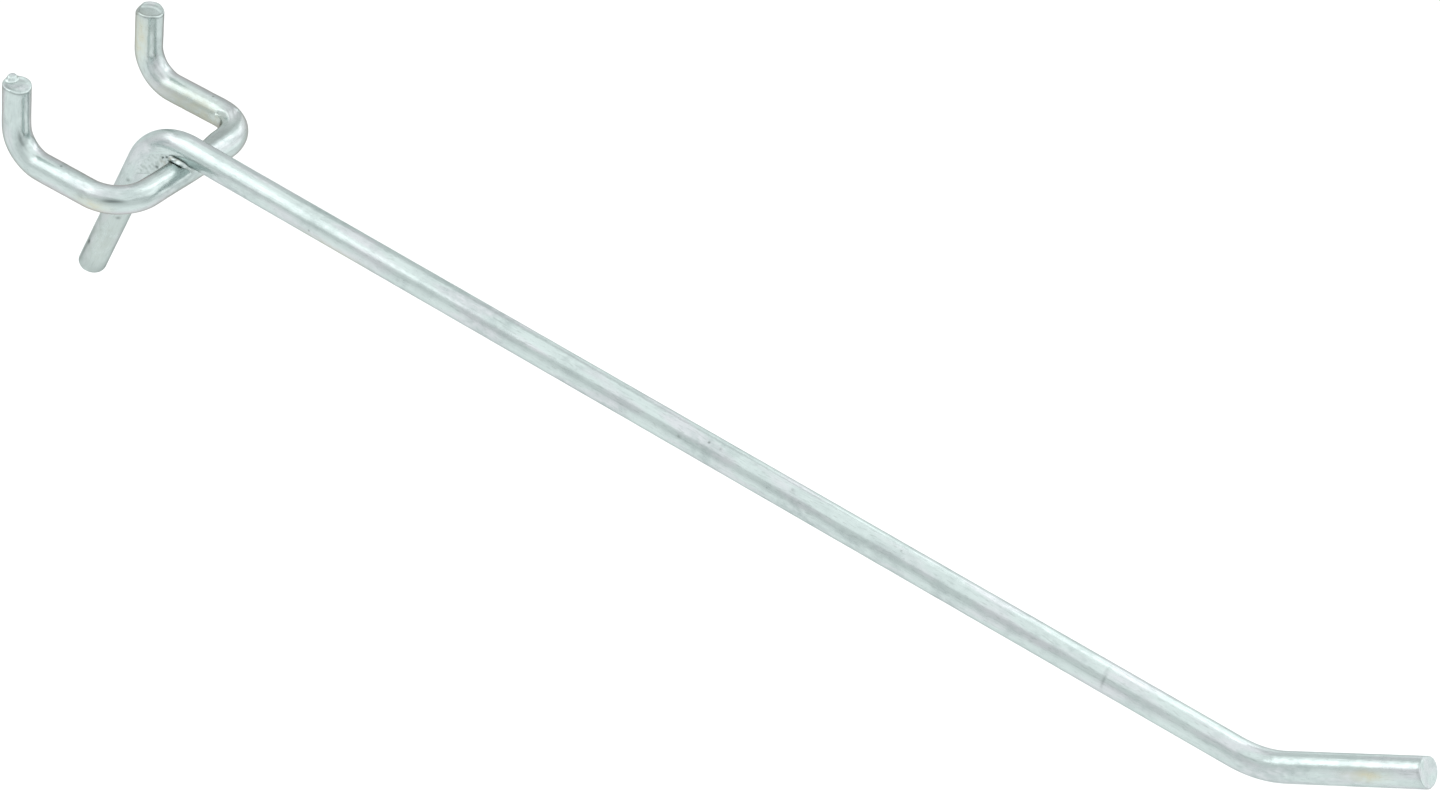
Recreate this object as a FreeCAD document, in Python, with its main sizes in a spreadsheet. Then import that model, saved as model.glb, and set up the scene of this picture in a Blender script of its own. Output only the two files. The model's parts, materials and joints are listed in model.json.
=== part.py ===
"""Pegboard hook of bent round wire: a mounting staple, a long arm laid across it and their weld.

The row frame is the hung position. The board's front face is the plane y = 0, +Z runs up the board,
the arm reaches out along -Y, and the origin lies midway between the centres of the two peg holes.
Each wire is modelled square to its own bends and then tipped into the hung position.
"""
import FreeCAD, Part
import math
import os
import re

from FreeCAD import Placement, Rotation, Vector
from Sketcher import Constraint

# Driving sizes in millimetres and degrees, each with what it measures.
SIZES = {
    "wire_diameter": (3.8, "round wire of the arm and the staple"),
    "end_rounding": (0.35, "edge left on the sheared ends by tumbling"),
    "hole_pitch": (25.4, "between the axes of the two prongs, one peg hole pitch"),
    "staple_depth": (18.0, "crossbar axis to prong axis, along the runs"),
    "crossbar_bend_radius": (5.4, "wire axis, both ends of the crossbar"),
    "prong_bend_radius": (4.6, "wire axis, from each run up into its prong"),
    "left_prong_rise": (10.9, "run axis to the cut end of the left prong"),
    "right_prong_rise": (10.4, "run axis to the cut end of the right prong"),
    "arm_length": (164.0, "above the crossbar axis to the corner of the tip bend"),
    "arm_droop": (2.0, "how far the arm falls below the plane of the staple"),
    "tip_bend_radius": (12.6, "wire axis, where the tip turns up"),
    "tip_angle": (31.9, "turn of the tip away from the arm"),
    "tip_length": (22.8, "corner of the tip bend to the cut end"),
    "rear_bend_radius": (8.4, "wire axis, where the arm turns down into the leg"),
    "rear_bend_lead": (0.45, "the rear bend starts this far in front of the crossbar axis"),
    "leg_splay": (19.4, "how far the leg leans back to the board, from square to the arm"),
    "leg_length": (28.4, "corner of the rear bend to the cut end"),
    "weld_set_down": (0.6, "how far the two wires sink into each other"),
    "nugget_cover": (0.35, "weld metal beyond the sunk depth, into each wire"),
    "flash_reach": (0.35, "squeezed out flash, beyond the side of the wire"),
    "web_width": (3.2, "along the crossbar, flash that fills the crook behind it"),
    "web_high": (2.4, "middle of the weld down to that flash's free edge, at the crossbar"),
    "web_low": (5.4, "middle of the weld down to the same edge, at the leg"),
    "peg_hole_diameter": (6.35, "hole in the board, with each run resting on its lower edge"),
    "hang_angle": (9.57, "the staple tips up by this in holes of a 3.2 board as the leg meets it"),
}
# Sizes worked out from the ones above.
DERIVED = {
    "wire_radius": "wire_diameter / 2",
    "half_pitch": "hole_pitch / 2",
    "run_length": "staple_depth - prong_bend_radius",
    "axis_gap": "wire_diameter - weld_set_down",
    "rise_angle": "hang_angle - arm_droop",
    "leg_lean": "leg_splay - rise_angle",
    "rear_cut": "rear_bend_radius * tan((90 deg - leg_splay * 1 deg) / 2)",
    "rear_setback": "rear_cut - rear_bend_lead",
    "tip_cut": "tip_bend_radius * tan(tip_angle * 1 deg / 2)",
    "half_weld": "weld_set_down / 2 + nugget_cover",
    "weld_radius": "wire_radius + flash_reach",
    "weld_flat": "weld_radius - half_weld",
    # The web is drawn from inside the crossbar to inside the rear bend, and the wires are taken out of it.
    "web_root": "wire_radius / 2",
    "web_reach": "rear_bend_radius - sqrt(wire_radius ^ 2 - web_width ^ 2 / 4) + nugget_cover",
    "rear_bend_drop": "rear_bend_radius - axis_gap / 2",
    # The rounded rim at the leg's end just meets the board's face.
    "arm_to_board": "rear_setback * cos(rise_angle * 1 deg)"
    " + (leg_length - end_rounding) * sin(leg_lean * 1 deg)"
    " + (wire_radius - end_rounding) * cos(leg_lean * 1 deg) + end_rounding",
    "crossbar_standoff": "arm_to_board + axis_gap * sin(rise_angle * 1 deg)",
    "crossbar_height": "crossbar_standoff * tan(hang_angle * 1 deg)"
    " + wire_radius / cos(hang_angle * 1 deg) - peg_hole_diameter / 2",
}
SHEET_NAME = "Sizes"
FULL_TURN = 360.0
# Turning about this axis lifts the arm and leans the prongs back.
TIP_UP_AXIS = Vector(-1, 0, 0)
ALONG_Z = Vector(0, 0, 1)
# Point positions on a sketch's geometry, and the sketch's own axes.
START, END, CENTRE = 1, 2, 3
HORIZONTAL_AXIS, VERTICAL_AXIS = -1, -2
ORIGIN = (HORIZONTAL_AXIS, START)

doc = FreeCAD.newDocument("pegboard_hook")
sheet = doc.addObject("Spreadsheet::Sheet", SHEET_NAME)


def fill_sheet():
    """Write each size, its alias and its meaning into the sheet."""
    row = 1
    for name, (value, meaning) in SIZES.items():
        sheet.set(f"A{row}", name)
        sheet.set(f"B{row}", str(value))
        sheet.setAlias(f"B{row}", name)
        sheet.set(f"C{row}", meaning)
        row += 1
    for name, formula in DERIVED.items():
        sheet.set(f"A{row}", name)
        sheet.set(f"B{row}", f"={formula}")
        sheet.setAlias(f"B{row}", name)
        row += 1
    doc.recompute()


def size(name):
    """Return the present value of one cell."""
    return float(getattr(sheet, name))


def bound(formula, unit):
    """Turn a formula over the cells' names into an expression with a unit."""
    known = set(SIZES) | set(DERIVED)

    def with_sheet(match):
        word = match.group()
        return f"{SHEET_NAME}.{word}" if word in known else word

    return f"({re.sub('[a-z_]+', with_sheet, formula)}) * 1 {unit}"


def origin_plane(body, role):
    """Return the origin plane of a body by its role."""
    return next(feature for feature in body.Origin.OriginFeatures if feature.Role == role)


def new_body(label):
    """Start one piece of wire or weld metal."""
    body = doc.addObject("PartDesign::Body", label)
    body.Label = label
    return body


def new_sketch(body, name, role, offset=None):
    """Start a sketch on an origin plane of its body, moved along the plane's normal by a formula."""
    sketch = body.newObject("Sketcher::SketchObject", name)
    sketch.AttachmentSupport = [(origin_plane(body, role), "")]
    sketch.MapMode = "FlatFace"
    if offset is not None:
        sketch.setExpression(".AttachmentOffset.Base.z", bound(offset, "mm"))
    return sketch


def line(sketch, start, end):
    """Draw a line between two points of the sketch's plane."""
    return sketch.addGeometry(Part.LineSegment(start, end), False)


def bend(sketch, corner, start, end):
    """Draw the arc that leaves start and meets end, both as far from the corner between them.

    Returns the arc's number, and which of its two ends is at start and which is at end.
    """
    middle = (start + end) / 2
    half_chord, reach = start.distanceToPoint(middle), corner.distanceToPoint(middle)
    centre = middle + (middle - corner) * (half_chord / reach) ** 2
    first, last = start - centre, end - centre
    turns_left = first.cross(last).z > 0
    low, high = (first, last) if turns_left else (last, first)
    circle = Part.Circle(centre, ALONG_Z, first.Length)
    ring = Part.ArcOfCircle(circle, math.atan2(low.y, low.x), math.atan2(high.y, high.x))
    number = sketch.addGeometry(ring, False)
    return (number, START, END) if turns_left else (number, END, START)


def rule(sketch, kind, *geometry):
    """Add a constraint that has no size."""
    sketch.addConstraint(Constraint(kind, *geometry))


def dimension(sketch, name, kind, *geometry, formula, unit="mm"):
    """Add a named dimension that follows a formula over the sheet."""
    present = sheet.evalExpression(bound(formula, unit)).Value
    if unit == "deg":
        present = FreeCAD.Units.Quantity(f"{present} deg").getValueAs("rad").Value
    index = sketch.addConstraint(Constraint(kind, *geometry, present))
    sketch.renameConstraint(index, name)
    sketch.setExpression(f"Constraints.{name}", bound(formula, unit))


def wire_section(body, name, route):
    """Draw the wire's round section square to a route, at the route's start."""
    section = body.newObject("Sketcher::SketchObject", name)
    section.AttachmentSupport = [(route, "Edge1")]
    section.MapMode = "NormalToEdge"
    section.MapPathParameter = 0
    ring = section.addGeometry(Part.Circle(Vector(), ALONG_Z, size("wire_radius")), False)
    rule(section, "Coincident", ring, CENTRE, *ORIGIN)
    dimension(section, "wire", "Radius", ring, formula="wire_radius")
    doc.recompute()
    return section


def bent_wire(body, name, route):
    """Carry the wire's section along every edge of a route."""
    doc.recompute()
    pipe = body.newObject("PartDesign::AdditivePipe", name)
    pipe.Profile = wire_section(body, f"{name}_section", route)
    pipe.Spine = (route, [f"Edge{number + 1}" for number in range(len(route.Shape.Edges))])
    doc.recompute()
    return pipe


def round_cut_ends(body, name, pipe, end_points):
    """Round the rim of the wire at each of its cut ends."""
    rims = []
    for number, edge in enumerate(pipe.Shape.Edges, start=1):
        if isinstance(edge.Curve, Part.Circle) and min(
            edge.Curve.Center.distanceToPoint(point) for point in end_points
        ) < size("end_rounding"):
            rims.append(f"Edge{number}")
    rounding = body.newObject("PartDesign::Fillet", name)
    rounding.Base = (pipe, rims)
    rounding.setExpression("Radius", bound("end_rounding", "mm"))
    doc.recompute()
    body.Tip = rounding


def hang(body, turn, ahead, above):
    """Tip a piece up by an angle and set it off from the origin, all by formulas."""
    body.Placement = Placement(Vector(), Rotation(TIP_UP_AXIS, size("hang_angle")))
    body.setExpression(".Placement.Rotation.Angle", bound(turn, "deg"))
    body.setExpression(".Placement.Base.y", bound(ahead, "mm"))
    body.setExpression(".Placement.Base.z", bound(above, "mm"))


def staple_plan_route(body):
    """Draw the flat U of the staple: left run, crossbar along X through the origin, right run."""
    run, turn = size("run_length"), size("crossbar_bend_radius")
    back, across = Vector(0, turn, 0), Vector(turn, 0, 0)
    left_corner, right_corner = Vector(-size("half_pitch"), 0, 0), Vector(size("half_pitch"), 0, 0)
    left_end, right_end = left_corner + Vector(0, run, 0), right_corner + Vector(0, run, 0)
    route = new_sketch(body, "staple_plan_route", "XY_Plane")
    left = line(route, left_end, left_corner + back)
    left_bend, left_in, left_out = bend(route, left_corner, left_corner + back, left_corner + across)
    crossbar = line(route, left_corner + across, right_corner - across)
    right_bend, right_in, right_out = bend(route, right_corner, right_corner - across, right_corner + back)
    right = line(route, right_corner + back, right_end)
    rule(route, "Vertical", left)
    rule(route, "Vertical", right)
    rule(route, "PointOnObject", crossbar, START, HORIZONTAL_AXIS)
    rule(route, "Horizontal", crossbar)
    rule(route, "Tangent", left, END, left_bend, left_in)
    rule(route, "Tangent", left_bend, left_out, crossbar, START)
    rule(route, "Tangent", crossbar, END, right_bend, right_in)
    rule(route, "Tangent", right_bend, right_out, right, START)
    dimension(route, "left_turn", "Radius", left_bend, formula="crossbar_bend_radius")
    dimension(route, "right_turn", "Radius", right_bend, formula="crossbar_bend_radius")
    dimension(route, "left_reach", "DistanceX", left, START, *ORIGIN, formula="half_pitch")
    dimension(route, "right_reach", "DistanceX", *ORIGIN, right, END, formula="half_pitch")
    dimension(route, "left_back", "DistanceY", *ORIGIN, left, START, formula="run_length")
    dimension(route, "right_back", "DistanceY", *ORIGIN, right, END, formula="run_length")
    return route


def prong_route(body, side, offset):
    """Draw one prong: up out of the end of its run, and straight to the cut."""
    run_end = Vector(size("run_length"), 0, 0)
    corner = Vector(size("staple_depth"), 0, 0)
    bend_top = corner + Vector(0, size("prong_bend_radius"), 0)
    cut_end = corner + Vector(0, size(f"{side}_prong_rise"), 0)
    route = new_sketch(body, f"{side}_prong_route", "YZ_Plane", offset)
    turn, turn_in, turn_out = bend(route, corner, run_end, bend_top)
    prong = line(route, bend_top, cut_end)
    rule(route, "PointOnObject", turn, turn_in, HORIZONTAL_AXIS)
    rule(route, "Vertical", turn, turn_in, turn, CENTRE)
    rule(route, "Vertical", prong)
    rule(route, "Tangent", turn, turn_out, prong, START)
    dimension(route, "turn", "Radius", turn, formula="prong_bend_radius")
    dimension(route, "back", "DistanceX", *ORIGIN, turn, turn_in, formula="run_length")
    dimension(route, "rise", "DistanceY", *ORIGIN, prong, END, formula=f"{side}_prong_rise")
    return route


def mounting_staple():
    """The U of wire that goes through two peg holes and turns up behind the board."""
    body = new_body("staple_wire")
    bent_wire(body, "staple_plan", staple_plan_route(body))
    left = prong_route(body, "left", "-half_pitch")
    bent_wire(body, "left_prong", left)
    right = prong_route(body, "right", "half_pitch")
    last = bent_wire(body, "right_prong", right)
    ends = [route.Shape.Vertexes[-1].Point for route in (left, right)]
    round_cut_ends(body, "prong_ends", last, ends)
    hang(body, "hang_angle", "-crossbar_standoff", "crossbar_height")
    return body


def heading(turn):
    """Return the direction at an angle in degrees, counted from a sketch's own X axis."""
    return Vector(math.cos(math.radians(turn)), math.sin(math.radians(turn)), 0)


def arm_route(body):
    """Draw the leg, the rear bend, the arm along -Y through the origin, and the tip turned up."""
    leg_up, out, tip_out = heading(90 + size("leg_splay")), heading(180), heading(180 - size("tip_angle"))
    rear_corner, tip_corner = Vector(size("rear_setback"), 0, 0), out * size("arm_length")
    leg_top, arm_back = rear_corner - leg_up * size("rear_cut"), rear_corner + out * size("rear_cut")
    arm_front, tip_back = tip_corner - out * size("tip_cut"), tip_corner + tip_out * size("tip_cut")
    route = new_sketch(body, "arm_route", "YZ_Plane")
    leg = line(route, rear_corner - leg_up * size("leg_length"), leg_top)
    rear_bend, rear_in, rear_out = bend(route, rear_corner, leg_top, arm_back)
    arm = line(route, arm_back, arm_front)
    tip_bend, tip_in, tip_out_end = bend(route, tip_corner, arm_front, tip_back)
    tip = line(route, tip_back, tip_corner + tip_out * size("tip_length"))
    rule(route, "Horizontal", arm)
    rule(route, "PointOnObject", arm, END, HORIZONTAL_AXIS)
    rule(route, "Tangent", leg, END, rear_bend, rear_in)
    rule(route, "Tangent", rear_bend, rear_out, arm, START)
    rule(route, "Tangent", arm, END, tip_bend, tip_in)
    rule(route, "Tangent", tip_bend, tip_out_end, tip, START)
    dimension(route, "rear_turn", "Radius", rear_bend, formula="rear_bend_radius")
    dimension(route, "tip_turn", "Radius", tip_bend, formula="tip_bend_radius")
    dimension(route, "leg_heading", "Angle", leg, formula="90 + leg_splay", unit="deg")
    dimension(route, "tip_heading", "Angle", tip, formula="180 - tip_angle", unit="deg")
    dimension(route, "leg", "Distance", leg, formula="leg_length - rear_cut")
    dimension(route, "tip", "Distance", tip, formula="tip_length - tip_cut")
    dimension(route, "front", "DistanceX", arm, END, *ORIGIN, formula="arm_length - tip_cut")
    dimension(route, "arm", "Distance", arm, formula="arm_length + rear_setback - rear_cut - tip_cut")
    return route


def hook_arm():
    """The long wire: a leg that bears on the board, the arm that carries goods, and its raised tip."""
    body = new_body("arm_wire")
    route = arm_route(body)
    pipe = bent_wire(body, "arm", route)
    ends = [route.Shape.Vertexes[0].Point, route.Shape.Vertexes[-1].Point]
    round_cut_ends(body, "arm_ends", pipe, ends)
    hang(
        body,
        "rise_angle",
        "axis_gap * sin(rise_angle * 1 deg) - crossbar_standoff",
        "axis_gap * cos(rise_angle * 1 deg) + crossbar_height",
    )
    return body


def crook_web_outline(body):
    """Draw the flash in the crook: under the inside of the rear bend, down to a slanting free edge."""
    centre = Vector(-size("rear_bend_lead"), -size("rear_bend_drop"), 0)
    root, reach = size("web_root"), size("web_reach")
    high, low = -size("web_high"), -size("web_low")
    corner = Vector(root, high, 0)
    top = Vector(root, centre.y + math.sqrt(reach**2 - (root - centre.x) ** 2), 0)
    foot = Vector(centre.x + math.sqrt(reach**2 - (low - centre.y) ** 2), low, 0)
    outline = new_sketch(body, "web_outline", "YZ_Plane")
    back = line(outline, top, corner)
    free_edge = line(outline, corner, foot)
    start, end = foot - centre, top - centre
    circle = Part.Circle(centre, ALONG_Z, reach)
    under_bend = outline.addGeometry(
        Part.ArcOfCircle(circle, math.atan2(start.y, start.x), math.atan2(end.y, end.x)), False
    )
    rule(outline, "Vertical", back)
    rule(outline, "Coincident", back, END, free_edge, START)
    rule(outline, "Coincident", free_edge, END, under_bend, START)
    rule(outline, "Coincident", under_bend, END, back, START)
    dimension(outline, "reach", "Radius", under_bend, formula="web_reach")
    dimension(outline, "lead", "DistanceX", under_bend, CENTRE, *ORIGIN, formula="rear_bend_lead")
    dimension(outline, "drop", "DistanceY", under_bend, CENTRE, *ORIGIN, formula="rear_bend_drop")
    dimension(outline, "root", "DistanceX", *ORIGIN, back, END, formula="web_root")
    dimension(outline, "high", "DistanceY", back, END, *ORIGIN, formula="web_high")
    dimension(outline, "low", "DistanceY", free_edge, END, *ORIGIN, formula="web_low")
    return outline


def hang_at_weld(body):
    """Hang a piece of weld metal midway between the axes of the two wires."""
    hang(
        body,
        "rise_angle",
        "axis_gap / 2 * sin(rise_angle * 1 deg) - crossbar_standoff",
        "axis_gap / 2 * cos(rise_angle * 1 deg) + crossbar_height",
    )


def crook_flash():
    """The flash that filled the crook behind the crossbar, drawn a little way into both wires."""
    body = new_body("crook_flash")
    web = body.newObject("PartDesign::Pad", "crook_web")
    web.Profile = crook_web_outline(body)
    web.SideType = "Symmetric"
    web.setExpression("Length", bound("web_width", "mm"))
    doc.recompute()
    hang_at_weld(body)
    return body


def weld_nugget():
    """The weld nugget between the two wires, with the flash squeezed out round its rim."""
    body = new_body("weld_nugget")
    flat, half = Vector(size("weld_flat"), 0, 0), Vector(0, size("half_weld"), 0)
    edge = Vector(size("weld_radius"), 0, 0)
    section = new_sketch(body, "weld_section", "XZ_Plane")
    axis = line(section, half, -half)
    under = line(section, -half, flat - half)
    low_rim, low_in, low_out = bend(section, edge - half, flat - half, edge)
    high_rim, high_in, high_out = bend(section, edge + half, edge, flat + half)
    over = line(section, flat + half, half)
    rule(section, "PointOnObject", axis, START, VERTICAL_AXIS)
    rule(section, "Vertical", axis)
    rule(section, "Horizontal", under)
    rule(section, "Horizontal", over)
    rule(section, "Coincident", axis, END, under, START)
    rule(section, "Tangent", under, END, low_rim, low_in)
    rule(section, "Tangent", low_rim, low_out, high_rim, high_in)
    rule(section, "Tangent", high_rim, high_out, over, START)
    rule(section, "Coincident", over, END, axis, START)
    rule(section, "PointOnObject", low_rim, low_out, HORIZONTAL_AXIS)
    rule(section, "PointOnObject", low_rim, CENTRE, HORIZONTAL_AXIS)
    rule(section, "Equal", low_rim, high_rim)
    dimension(section, "rim", "Radius", low_rim, formula="half_weld")
    dimension(section, "flat", "Distance", under, formula="weld_flat")
    doc.recompute()
    spin = body.newObject("PartDesign::Revolution", "weld_spin")
    spin.Profile = section
    spin.ReferenceAxis = (section, ["V_Axis"])
    spin.Angle = FULL_TURN
    doc.recompute()
    hang_at_weld(body)
    return body


def without(base, tool, label):
    """Take the metal of one piece out of another, and name what is left."""
    piece = doc.addObject("Part::Cut", label)
    piece.Base = base
    piece.Tool = tool
    piece.Label = label
    return piece


def joined(first, second, label):
    """Make one piece of two that touch."""
    piece = doc.addObject("Part::Fuse", label)
    piece.Base = first
    piece.Tool = second
    piece.Label = label
    return piece


def check_and_write(pieces):
    """Stop on any failed object or bad solid, then write one file for each piece."""
    doc.recompute()
    for item in doc.Objects:
        if "Invalid" in item.State or "Error" in item.State:
            raise RuntimeError(f"{item.Label} is {item.State}")
    os.makedirs("parts", exist_ok=True)
    for piece in pieces:
        shape = piece.Shape
        if shape.isNull() or not shape.isValid() or len(shape.Solids) != 1:
            raise RuntimeError(f"{piece.Label} is not one valid solid")
    for piece in pieces:
        piece.Shape.exportStep(f"parts/{piece.Label}.step")
        print(f"{piece.Label}: {piece.Shape.Volume:.1f} mm3")


fill_sheet()
nugget, flash = weld_nugget(), crook_flash()
staple_wire, arm_wire = mounting_staple(), hook_arm()
# The nugget took metal from both wires, while the flash only lies against them.
staple = without(staple_wire, nugget, "mounting_staple")
arm = without(arm_wire, nugget, "hook_arm")
flash_behind = without(flash, staple_wire, "flash_behind_crossbar")
flash_in_crook = without(flash_behind, arm_wire, "flash_in_crook")
weld = joined(nugget, flash_in_crook, "weld")
check_and_write([staple, arm, weld])
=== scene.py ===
"""Looks of a pegboard hook: two bright zinc plated wires, cross welded where the arm lies on the staple.

The row frame is the hung position: the board's front face is y = 0, +Z runs up the board and the arm
reaches out along -Y. Sizes are in millimetres and turned into metres where a mesh is made.
"""

import json
import logging
import math
from dataclasses import dataclass
from enum import Enum

import bpy
import numpy as np
from mathutils import Matrix, Vector


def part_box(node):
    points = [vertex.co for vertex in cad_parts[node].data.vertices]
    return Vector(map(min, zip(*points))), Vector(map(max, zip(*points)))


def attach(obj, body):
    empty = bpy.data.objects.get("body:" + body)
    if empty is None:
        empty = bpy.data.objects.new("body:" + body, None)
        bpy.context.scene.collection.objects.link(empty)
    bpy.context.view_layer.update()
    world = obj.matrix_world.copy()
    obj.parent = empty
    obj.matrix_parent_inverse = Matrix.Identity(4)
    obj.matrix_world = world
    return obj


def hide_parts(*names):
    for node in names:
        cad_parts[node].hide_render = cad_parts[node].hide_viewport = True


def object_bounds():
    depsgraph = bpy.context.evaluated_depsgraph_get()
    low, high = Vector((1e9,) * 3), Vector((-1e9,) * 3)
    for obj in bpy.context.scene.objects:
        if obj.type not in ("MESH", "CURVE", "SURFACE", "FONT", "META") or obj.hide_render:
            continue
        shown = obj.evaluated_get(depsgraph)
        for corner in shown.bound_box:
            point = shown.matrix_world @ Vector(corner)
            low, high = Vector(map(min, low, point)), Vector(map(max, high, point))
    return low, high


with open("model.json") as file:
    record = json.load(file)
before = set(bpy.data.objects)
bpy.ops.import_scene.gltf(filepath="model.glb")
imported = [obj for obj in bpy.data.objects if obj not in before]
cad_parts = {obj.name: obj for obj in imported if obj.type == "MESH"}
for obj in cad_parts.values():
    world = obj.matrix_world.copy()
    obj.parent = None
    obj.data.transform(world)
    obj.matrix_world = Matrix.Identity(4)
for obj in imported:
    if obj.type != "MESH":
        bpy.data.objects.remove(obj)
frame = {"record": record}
cad_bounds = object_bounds()

LOG = logging.getLogger("pegboard_hook")
MM = 0.001
ROOT = "root"
# Surface attributes that the finishes read: millimetres along and around the wire, and its marks, painted
# shade among them.
PLACE = "wire_place"
MARKS = "wire_marks"
# The Mix node's colour sockets share their names with its number sockets, so they go by place.
MIX_SHARE, MIX_BELOW, MIX_OVER, MIX_COLOUR = 0, 6, 7, 2
ACROSS = np.array((1.0, 0.0, 0.0))
Sockets = dict[str, bpy.types.NodeSocket]


def unit(vector: np.ndarray) -> np.ndarray:
    """Return a vector's direction."""
    vector = np.asarray(vector, float)
    return vector / np.linalg.norm(vector)


def smooth_step(low: float, high: float, value: np.ndarray) -> np.ndarray:
    """Rise smoothly from 0 at low to 1 at high.

    Args:
        low: Where the rise starts.
        high: Where the rise ends.
        value: The values to grade.

    Returns:
        The graded values, from 0 to 1.
    """
    share = np.clip((value - low) / (high - low), 0.0, 1.0)
    return share * share * (3.0 - 2.0 * share)


def linear_colour(code: str) -> tuple[float, float, float, float]:
    """Turn an sRGB hex colour into the linear values that shaders take.

    Args:
        code: A hash and six hex digits.

    Returns:
        Linear red, green and blue, and an alpha of one.
    """
    shares = [int(code[place : place + 2], 16) / 255 for place in (1, 3, 5)]
    linear = [s / 12.92 if s <= 0.04045 else ((s + 0.055) / 1.055) ** 2.4 for s in shares]
    return (*linear, 1.0)


def add_node(
    tree: bpy.types.NodeTree,
    kind: str,
    settings: dict[str | int, object] | None = None,
    links: dict[str | int, bpy.types.NodeSocket] | None = None,
) -> bpy.types.Node:
    """Add one node to a tree.

    Args:
        tree: The tree that gets the node.
        kind: The node's type, such as ShaderNodeBump.
        settings: Values by the name of a property, or by the name or number of an input socket.
        links: The output socket that feeds each input socket, by its name or number.

    Returns:
        The new node.
    """
    node = tree.nodes.new(kind)
    for name, value in (settings or {}).items():
        if isinstance(name, str) and hasattr(node, name):
            setattr(node, name, value)
        else:
            node.inputs[name].default_value = value
    for name, source in (links or {}).items():
        tree.links.new(source, node.inputs[name])
    return node


def mount(name: str) -> tuple[np.ndarray, np.ndarray]:
    """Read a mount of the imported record.

    Args:
        name: The mount's name.

    Returns:
        Its place in millimetres and the direction of its axis.
    """
    stated = next(item for item in frame["record"]["mounts"] if item["name"] == name)
    return np.array(stated["pos_m"]) / MM, unit(stated["axis"])


@dataclass(frozen=True)
class Route:
    """The axis of a bent wire: corners in millimetres, with a bend radius at each inner one."""

    corners: tuple[np.ndarray, ...]
    radii: tuple[float, ...]

    def stretches(self) -> list[tuple[float, np.ndarray, np.ndarray, np.ndarray, float]]:
        """Split the route into straight runs and arcs.

        Returns:
            For each stretch its length, start, direction, bend centre and radius, 0 on a run.
        """
        found = []
        start = self.corners[0]
        for corner, after, radius in zip(self.corners[1:-1], self.corners[2:], self.radii):
            inward, outward = unit(corner - start), unit(after - corner)
            turn = math.acos(float(np.clip(inward @ outward, -1.0, 1.0)))
            cut = radius * math.tan(turn / 2)
            bend_start = corner - inward * cut
            toward_centre = unit(outward - inward * (inward @ outward))
            found.append((float(np.linalg.norm(bend_start - start)), start, inward, start, 0.0))
            found.append((radius * turn, bend_start, inward, bend_start + toward_centre * radius, radius))
            start = corner + outward * cut
        last = self.corners[-1] - start
        found.append((float(np.linalg.norm(last)), start, unit(last), start, 0.0))
        return found

    def walk(self, step: float) -> tuple[np.ndarray, np.ndarray, np.ndarray]:
        """Place stations along the route.

        Args:
            step: The longest distance between two stations.

        Returns:
            The distance of each station from the start, its place, and the route's direction there.
        """
        travelled, places, headings = [], [], []
        before = 0.0
        for length, start, heading, centre, radius in self.stretches():
            count = max(1, math.ceil(length / step))
            for share in np.arange(count) / count:
                away = length * share
                travelled.append(before + away)
                if radius == 0.0:
                    places.append(start + heading * away)
                    headings.append(heading)
                else:
                    inward = (centre - start) / radius
                    ahead, aside = math.sin(away / radius), math.cos(away / radius)
                    places.append(centre - inward * radius * aside + heading * radius * ahead)
                    headings.append(heading * aside + inward * ahead)
            before += length
        travelled.append(before)
        places.append(self.corners[-1])
        headings.append(heading)
        return np.array(travelled), np.array(places), np.array(headings)


class Shear(Enum):
    """How a shear blade left the end of a wire."""

    LIP = "a lip stands on one side of the face"
    CHIP = "a corner of the face broke away"
    CLEAN = "flat, with an even rim"
    WORN = "flat, with a rim rounded off by tumbling"


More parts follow.
